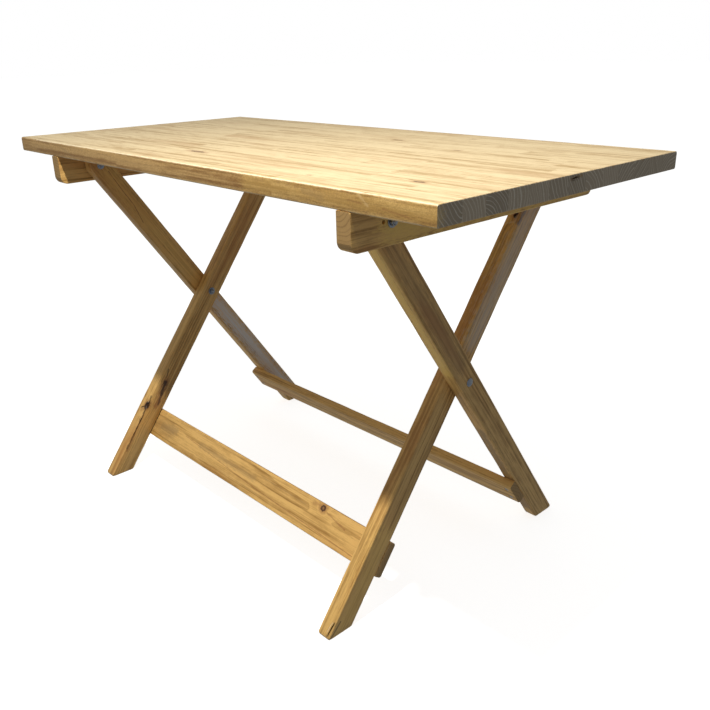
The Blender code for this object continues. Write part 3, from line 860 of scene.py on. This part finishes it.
def wood_material(node, look, place, size, seed, tone=0.0, pith=(0.05, -0.08), spacing=0.0034,
                  lamella=None):
    """Solid oiled wood with its grain along the X axis of the board's placement.

    size is the board's half width and half thickness, and pith the middle of its growth rings
    across it. A stave is finger-jointed from shorter lengths of about one lamella each.
    """
    shades = WOOD_LOOKS[look]
    pale, deep, face = shades["pale"], shades["deep"], size[1]
    material, g, sockets = new_material(f"{node}_wood")
    coords = g.add("TexCoord")
    point = board_point(g, coords, place)
    cell = g.vector("ADD", point, (seed * 3.17, seed * 1.31, seed * 0.73))
    board_tone = tone
    if lamella:
        length = g.math("MULTIPLY_ADD", g.split(point)[0], 1 / lamella, seed * 0.37)
        chance = g.chance(g.math("FLOOR", length), seed)
        cell = g.vector("ADD", cell, g.join(g.times(chance, 9.0), 0.0, 0.0))
        board_tone = g.math("MULTIPLY_ADD", chance, LAMELLA_TONE, tone - LAMELLA_TONE / 2)
    push, core, halo = knot_shares(g, point, cell, KNOTS.get(node, ()), face)
    ring, line = growth_rings(g, point, cell, pith, spacing, push, seed)
    fibre = g.field(cell, "fibre")
    pores = g.step(g.field(cell, "pores"), 0.60, 0.72)

    colour = g.mix(wood_depth(g, cell, shades, ring, fibre, board_tone), pale, deep)
    colour = g.mix(g.step(g.field(cell, "patch"), 0.52, 0.74, 0.0, 0.6), colour, shades["red"])
    colour = g.mix(g.times(pores, 0.35), colour, deep)
    # painted sheen: the top's edges kept darker than its paler upper face
    if "edge_dark" in shades:
        colour = sides_darker_than_painted_sheen(g, cell, colour, shades, facing(g, coords, place, 2, 0.93, 0.62))
    on_end = facing(g, coords, place, 0, 0.62, 0.88)
    colour = g.mix(on_end, colour, end_grain(g, cell, shades, line, tone))
    # long edges paled: rubbed wear and painted highlight
    colour = g.mix(edge_wear_and_highlight(g, point, cell, size), colour, pale)
    if node in KNOTS:
        colour = g.mix(g.times(halo, 0.6), colour, RUST)
        colour = g.mix(core, colour, KNOT_CORE)
    marks = MARKS.get(node, ()) + painted_split_shade(node)
    g.feed(sockets["Base Color"], marked(g, point, cell, colour, marks, face))

    rough = g.math("MULTIPLY_ADD", fibre, 0.22, 0.40)
    g.feed(sockets["Roughness"], g.math("MULTIPLY_ADD", on_end, 0.2, rough))
    height = g.math("MULTIPLY_ADD", fibre, 0.6, g.times(ring, 0.5))
    height = g.math("MULTIPLY_ADD", pores, -0.5, height)
    g.feed(sockets["Normal"], g.bump(height, 0.00018, 0.8))
    return material


def zinc_material():
    """Bright zinc plating, slightly clouded and finely scratched."""
    material, g, sockets = new_material("zinc_steel_look")
    point = g.add("TexCoord").outputs["Object"]
    cloud = g.noise(point, 220.0, 3.0)
    grain = g.noise(point, 2400.0, 2.0)
    scratch = g.noise(g.scaled(point, (900.0, 6000.0, 700.0)), detail=2.0)
    tint = g.mix(g.step(cloud, 0.35, 0.7), rgb(0.34, 0.38, 0.43), rgb(0.50, 0.50, 0.48))
    tint = g.mix(g.times(g.step(grain, 0.62, 0.75), 0.5), tint, rgb(0.30, 0.30, 0.31))
    g.feed(sockets["Base Color"], tint)
    sockets["Metallic"].default_value = 1.0
    g.feed(sockets["Roughness"], g.step(cloud, 0.3, 0.75, 0.14, 0.36))
    height = g.math("ADD", g.times(scratch, 0.7), grain)
    g.feed(sockets["Normal"], g.bump(height, 0.00003, 0.5))
    return material


# Wooden pieces

def swayed(mesh, place, seed, amount=0.00012):
    """Gives a mesh the slight waviness of planed and sanded wood, the same at any shared edge."""
    for vertex in mesh.vertices:
        spot = place @ vertex.co
        field = noise.noise_vector(spot * 14.0 + Vector((seed, 0.0, 0.0)))
        vertex.co += place.to_3x3().inverted() @ (field * amount)


def worn_edges(mesh, half_width, half_thickness, seed, amount):
    """Rubs a board's long edges down a little, unevenly along their length."""
    for vertex in mesh.vertices:
        x, y, z = vertex.co
        in_y = max(0.0, 1 - (half_width - abs(y)) / EDGE_WEAR_REACH)
        in_z = max(0.0, 1 - (half_thickness - abs(z)) / EDGE_WEAR_REACH)
        share = in_y * in_z
        if share > 0.0:
            rub = max(0.0, noise.noise(Vector((x * 22.0 + seed, y * 30.0, z * 30.0))) + 0.2)
            vertex.co.y -= math.copysign(amount * rub * share, y)
            vertex.co.z -= math.copysign(amount * rub * share, z)


def add_timber(node, mesh, cutters, place, half, seeds, wear, body, pith, spacing):
    """Cuts the holes of one board, lets it sway and wear, and gives it wood of its own."""
    sway_seed, wear_seed, wood_seed = seeds
    mesh = carved(new_object("timber", mesh), cutters)
    swayed(mesh, place, sway_seed)
    worn_edges(mesh, *half, wear_seed, wear)
    material = wood_material(node, "frame", place, half, wood_seed, pith=pith, spacing=spacing)
    return settle(node, mesh, material, place, body)


def add_stave(index, count):
    """One edge-glued stave of the top. Only the outermost edges of the top are rounded."""
    node = f"top_stave_{index + 1:02d}"
    low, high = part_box(node)
    if index > 0:
        low.y -= FIT / 2 - GLUE_GAP / 2
    if index < count - 1:
        high.y += FIT / 2 - GLUE_GAP / 2
    half = (high - low) / 2
    place = Matrix.Translation((low + high) / 2)
    outermost, glued = (TOP_LOWER_EDGE, TOP_EDGE), (0.0, 0.0)
    edges = (outermost if index == 0 else glued) + (outermost if index == count - 1 else glued)
    mesh = board_mesh(node, half.y, half.z, (straight(-half.x), straight(half.x)), edges)
    if node in SPLITS:
        mesh = carved(new_object("stave", mesh), split_cutters(node))
    swayed(mesh, place, 0.0)
    rng = random.Random(index)
    tone = rng.uniform(-0.10, 0.12)
    pith = (rng.choice((-1, 1)) * rng.uniform(0.03, 0.09), rng.uniform(-0.06, 0.03))
    material = wood_material(node, "top", place, (half.y, half.z), index + 1.0, tone, pith,
                             rng.uniform(0.0045, 0.0075), rng.uniform(0.24, 0.48))
    return settle(node, mesh, material, place, "top")


def add_batten(side):
    """Batten on edge across the underside, its lower corners rounded, bored for the pivot."""
    node = f"{side}_batten"
    centre, half = middle_and_half(node)
    place = basis((0, 1, 0), (0, 0, 1), (1, 0, 0), centre)
    path = [(-half.y + BATTEN_CORNER * 2, -half.z, 0.0), (-half.y, -half.z, BATTEN_CORNER),
            (-half.y, half.z, 0.0)]
    front = reader(rounded_path(path, 12))
    extra = [-half.z + offset for offset in arc_offsets(BATTEN_CORNER, 12)]
    edges = (LEG_EDGE, LEG_EDGE, END_RIM, END_RIM)
    mesh = board_mesh(node, half.z, half.x, (front, lambda y: -front(y)), edges, extra)
    pivot = place.inverted() @ Vector((centre.x, PIVOT.y, PIVOT.z))
    cutters = [bore(BOLT_RADIUS + FIT, (0, 0, 1), pivot - Vector((0, 0, half.x + OVERRUN)),
                    2 * (half.x + OVERRUN))]
    sign = 1 if side == "right" else -1
    if side == "right":
        start = pivot + Vector((-STRAY_HOLE_FORWARD, STRAY_HOLE_RAISED, half.x + OVERRUN))
        cutters.append(bore(STRAY_HOLE_RADIUS, (0, 0, -1), start, STRAY_HOLE_DEPTH + OVERRUN))
    for number in (1, 2, 3):
        middle, reach = middle_and_half(f"{node}_screw_{number}")
        start = place.inverted() @ Vector((centre.x, middle.y, middle.z - reach.z))
        cutters.append(screw_hole((0, 1, 0), start, 2 * reach.z))
    seeds = (3.0, 5.0 + sign, 20.0 + sign)
    return add_timber(node, mesh, cutters, place, (half.z, half.x), seeds, BOARD_WEAR, "top",
                      (0.05, -0.012 * sign), 0.0062)


def level_end(near, far, inward):
    """End of a leg that is cut level, from the x of its two long edges at the cut."""
    return reader(rounded_path([
        (near + inward, -HALF_LEG, 0.0), (near, -HALF_LEG, FOOT_RADIUS),
        (far, HALF_LEG, FOOT_RADIUS), (far + inward, HALF_LEG, 0.0)]))


def outer_leg_ends():
    """Ends of an outer leg about its pivot: trimmed level and upright at the top, level foot."""
    sine, cosine = math.sin(OUTER_ANGLE), math.cos(OUTER_ANGLE)
    tip_y = -END_CUT_FORWARD * sine + HALF_LEG * cosine
    tip_x = -END_CUT_FORWARD * cosine - HALF_LEG * sine
    throat = (-END_CUT_FORWARD + HALF_LEG * sine) / cosine
    level = (HALF_LEG * cosine - HALF_LEG) / sine
    top = [(throat + 2 * FOOT_RADIUS, -HALF_LEG, 0.0), (throat, -HALF_LEG, FOOT_RADIUS),
           (tip_x, tip_y, FOOT_RADIUS), (level, HALF_LEG, HALF_LEG),
           (level + 2 * HALF_LEG, HALF_LEG, 0.0)]
    near, far = ((PIVOT.z + across * cosine) / sine for across in (-HALF_LEG, HALF_LEG))
    return reader(rounded_path(top)), level_end(near, far, -4 * FOOT_RADIUS)


def inner_leg_ends():
    """Ends of an inner leg about the crossing: level foot and a level end under the top."""
    sine, cosine = math.sin(INNER_ANGLE), math.cos(INNER_ANGLE)
    reach = 4 * FOOT_RADIUS
    sides = []
    for height, inward in ((0.0, reach), (PIVOT.z + HALF_LEG, -reach)):
        near, far = ((height - CROSSING.z - across * cosine) / sine
                     for across in (-HALF_LEG, HALF_LEG))
        sides.append(level_end(near, far, inward))
    return tuple(sides)


def frame_place(which, x):
    """Placement at a leg frame's joint, grain along its legs, width across them."""
    angle, origin = (-OUTER_ANGLE, PIVOT) if which == "outer" else (INNER_ANGLE, CROSSING)
    turn = Matrix.Rotation(angle, 4, "X")
    grain, across = turn @ Vector((0, 1, 0)), turn @ Vector((0, 0, 1))
    return basis(grain, across, (1, 0, 0), (x, origin.y, origin.z))


def board_centre(which):
    """Where the stretcher of a frame lies along its legs."""
    if which == "outer":
        return PIVOT_TO_CROSSING + OUTER_BOARD_FROM_CROSSING
    return -INNER_BOARD_FROM_CROSSING


def add_leg(which, side):
    node = f"{side}_{which}_leg"
    middle, half = middle_and_half(node)
    half_thickness = half.x
    place = frame_place(which, middle.x)
    ends = outer_leg_ends() if which == "outer" else inner_leg_ends()
    columns = [turn * (HALF_LEG - offset) for turn in (-1, 1)
               for offset in arc_offsets(FOOT_RADIUS, 8)]
    mesh = board_mesh(node, HALF_LEG, half_thickness, ends, (LEG_EDGE,) * 4, columns, LEG_END_RIM)
    depth = half_thickness + OVERRUN
    sign = 1 if side == "right" else -1
    bolts = (0.0, PIVOT_TO_CROSSING) if which == "outer" else (0.0,)
    cutters = [bore(BOLT_RADIUS + FIT, (0, 0, 1), (x, 0.0, -depth), 2 * depth) for x in bolts]
    for offset in SCREW_OFFSETS if which == "inner" else ():
        start = (RAIL_FROM_CROSSING + offset, 0.0, sign * (half_thickness - FIT))
        cutters.append(screw_hole((0, 0, -sign), start, 2 * half_thickness))
    for offset in SCREW_OFFSETS:
        start = (board_centre(which) + offset, -HALF_LEG - OVERRUN, 0.0)
        cutters.append(bore(SCREW_RADIUS + FIT, (0, 1, 0), start, OVERRUN + STRETCHER_HOLE_DEPTH,
                            SCREW_SIDES))
    seed = {"outer": 30.0, "inner": 40.0}[which] + sign
    return add_timber(node, mesh, cutters + split_cutters(node), place, (HALF_LEG, half_thickness),
                      (seed,) * 3, LEG_WEAR, f"{which}_frame", (0.06 * sign, 0.03), 0.0068)


def add_board(which, node, centre, z_centre, half, edges, holes, seed):
    """Board along X between or across the legs of a frame."""
    turn = frame_place(which, 0.0)
    along_leg, across = (turn.to_3x3() @ Vector(axis) for axis in ((1, 0, 0), (0, 1, 0)))
    place = basis((1, 0, 0), along_leg, across, turn @ Vector((centre, z_centre, 0.0)))
    mesh = board_mesh(node, half.y, half.z, (straight(-half.x), straight(half.x)), edges)
    return add_timber(node, mesh, holes, place, half.yz, (seed,) * 3, BOARD_WEAR,
                      f"{which}_frame", (0.02, -0.05), 0.0060)


def stretcher_reach(which):
    """Half the length of a frame's stretcher, and how far out its screws are."""
    half_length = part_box(f"{which}_stretcher")[1].x
    return half_length, half_length - middle_and_half(f"right_{which}_leg")[1].x


def add_stretcher(which, width, seed):
    half_length, screw_x = stretcher_reach(which)
    low_face = -BOARD_THICKNESS / 2
    holes = [screw_hole((0, 0, 1), (sign * screw_x, offset, low_face + FIT), BOARD_THICKNESS + OVERRUN)
             for sign in (-1, 1) for offset in SCREW_OFFSETS]
    edges = (BOARD_OUTER_EDGE, BOARD_INNER_EDGE, BOARD_OUTER_EDGE, BOARD_INNER_EDGE)
    z_centre = -HALF_LEG - FIT - BOARD_THICKNESS / 2
    half = Vector((half_length, width / 2, BOARD_THICKNESS / 2))
    return add_board(which, f"{which}_stretcher", board_centre(which), z_centre, half, edges,
                     holes, seed)


def add_rail():
    half_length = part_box("inner_top_rail")[1].x
    holes = [bore(SCREW_RADIUS + FIT, (-sign, 0, 0), (sign * (half_length + OVERRUN), offset, 0.0),
                  OVERRUN + RAIL_HOLE_DEPTH, SCREW_SIDES)
             for sign in (-1, 1) for offset in SCREW_OFFSETS]
    half = Vector((half_length, RAIL_WIDTH / 2, BOARD_THICKNESS / 2))
    return add_board("inner", "inner_top_rail", RAIL_FROM_CROSSING, 0.0, half,
                     (BOARD_OUTER_EDGE,) * 4, holes, 53.0)


# Fasteners

def add_bolted_joint(side, name, direction, place_of, body, zinc):
    """Round-headed bolt with washers, spacer and nut, each at the place of its CAD solid."""
    sign = 1 if side == "right" else -1
    inner = BOLT_RADIUS + FIT
    for part in ("bolt", "spacer", "washer", "nut"):
        node = f"{side}_{name}_{part}"
        low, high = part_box(node)
        near, far = sorted((abs(low.x), abs(high.x)), reverse=direction < 0)
        length = abs(far - near)
        if part == "bolt":
            near += direction * DOME_HEIGHT
            mesh = domed_bolt_mesh(length - DOME_HEIGHT, BOLT_THREAD)
        elif part == "nut":
            mesh = nut_mesh(NUT_CORNER, inner, NUT_HEIGHT)
        else:
            mesh = washer_mesh(WASHER_RADIUS, inner, length)
        place = along((sign * direction, 0, 0), (sign * near, place_of.y, place_of.z))
        settle(node, mesh, zinc, place, body)


def add_screws(zinc):
    """Countersunk screws of the battens, stretchers and rail, each kind sharing one mesh."""
    meshes = {}

    def add(node, start, direction, length, body):
        key = round(length, 4)
        if key not in meshes:
            meshes[key] = screw_mesh(length)
        settle(node, meshes[key], zinc, along(direction, start), body)

    for side, sign in (("left", -1), ("right", 1)):
        for number in (1, 2, 3):
            node = f"{side}_batten_screw_{number}"
            middle, half = middle_and_half(node)
            add(node, (middle.x, middle.y, middle.z - half.z), (0, 0, 1), 2 * half.z, "top")
        for which in ("outer", "inner"):
            turn = frame_place(which, 0.0)
            inward = turn.to_3x3() @ Vector((0, 1, 0))
            for number, offset in enumerate(SCREW_OFFSETS, 1):
                along_leg = board_centre(which) + offset
                start = turn @ Vector((along_leg, -HALF_LEG - BOARD_THICKNESS, 0.0))
                start.x = sign * stretcher_reach(which)[1]
                add(f"{which}_stretcher_{side}_screw_{number}", start, inward,
                    BOARD_THICKNESS + STRETCHER_SCREW_GRIP, f"{which}_frame")
        for number, offset in enumerate(SCREW_OFFSETS, 1):
            node = f"inner_top_rail_{side}_screw_{number}"
            middle, half = middle_and_half(node)
            start = frame_place("inner", 0.0) @ Vector((RAIL_FROM_CROSSING + offset, 0.0, 0.0))
            start.x = middle.x + sign * half.x
            add(node, start, (-sign, 0, 0), 2 * half.x, "inner_frame")


# Stage

def add_floor():
    """Plain pale floor, which glows a little so that it stays pale in the table's shadow."""
    material, g, sockets = new_material("pale_floor")
    cloud = g.noise(g.add("TexCoord").outputs["Object"], 1.5, 3.0)
    g.feed(sockets["Base Color"], g.mix(cloud, rgb(0.76, 0.76, 0.76), rgb(0.80, 0.80, 0.80)))
    sockets["Roughness"].default_value = 0.9
    sockets["Emission Color"].default_value = rgb(1.0, 1.0, 1.0)
    sockets["Emission Strength"].default_value = FLOOR_GLOW
    shape = bmesh.new()
    bmesh.ops.create_grid(shape, x_segments=2, y_segments=2, size=FLOOR_HALF_SIZE)
    floor = new_object("floor", finished_mesh("floor", shape))
    floor.location.z = -FLOOR_GAP
    floor.data.materials.append(material)
    floor.visible_diffuse = False
    floor.visible_glossy = False


def add_key():
    """Round lamp that shines down from the front right, small enough to cast clear shadows."""
    data = bpy.data.lights.new("key", "AREA")
    data.energy = KEY_POWER
    data.color = KEY_COLOUR
    data.shape = "DISK"
    data.size = KEY_SIZE
    lamp = new_object("key", data)
    lamp.location = KEY_PLACE
    lamp.rotation_euler = (Vector(KEY_PLACE) - KEY_TARGET).to_track_quat("Z", "Y").to_euler()


def add_world():
    """Pale surroundings, seen brighter than they light. They are cooler towards +X."""
    world = bpy.data.worlds.new("studio")
    bpy.context.scene.world = world
    g = Graph(world)
    nodes = g.tree.nodes
    direction = g.add("TexCoord").outputs["Generated"]
    share = g.math("MULTIPLY_ADD", g.split(direction)["X"], 0.5, 0.5)
    lit = nodes["Background"]
    g.feed(lit.inputs["Color"], g.mix(share, SURROUND_WARM, SURROUND_COOL))
    lit.inputs["Strength"].default_value = SURROUND_STRENGTH
    seen = g.add("Background", SEEN_BACKDROP)
    by_camera = g.add("LightPath").outputs["Is Camera Ray"]
    mixed = g.add("MixShader", by_camera, lit.outputs[0], seen.outputs[0])
    g.feed(nodes["World Output"].inputs["Surface"], mixed.outputs[0])


def add_camera():
    data = bpy.data.cameras.new("camera")
    data.sensor_width = SENSOR_WIDTH
    data.lens = CAMERA_LENS
    data.clip_start, data.clip_end = 0.05, 100.0
    camera = new_object("camera", data)
    turn = (Matrix.Rotation(CAMERA_YAW, 4, "Z") @ Matrix.Rotation(math.pi / 2 + CAMERA_PITCH, 4, "X")
            @ Matrix.Rotation(CAMERA_ROLL, 4, "Z"))
    camera.matrix_world = Matrix.Translation(CAMERA_PLACE) @ turn
    bpy.context.scene.camera = camera


def build_stage():
    add_floor()
    add_world()
    add_key()
    bpy.context.scene.view_settings.view_transform = "Standard"
    add_camera()


def build_table():
    # Without a seed of its own, noise_vector would differ from one run to the next.
    noise.seed_set(SWAY_SEED)
    count = sum(name.startswith("top_stave") for name in frame["nodes"])
    for index in range(count):
        add_stave(index, count)
    zinc = zinc_material()
    for side in ("left", "right"):
        add_batten(side)
        add_leg("outer", side)
        add_leg("inner", side)
        add_bolted_joint(side, "pivot", 1, PIVOT, "top", zinc)
        add_bolted_joint(side, "crossing", -1, CROSSING, "outer_frame", zinc)
    add_stretcher("outer", OUTER_BOARD_WIDTH, 51.0)
    add_stretcher("inner", INNER_BOARD_WIDTH, 52.0)
    add_rail()
    add_screws(zinc)


build_stage()
build_table()
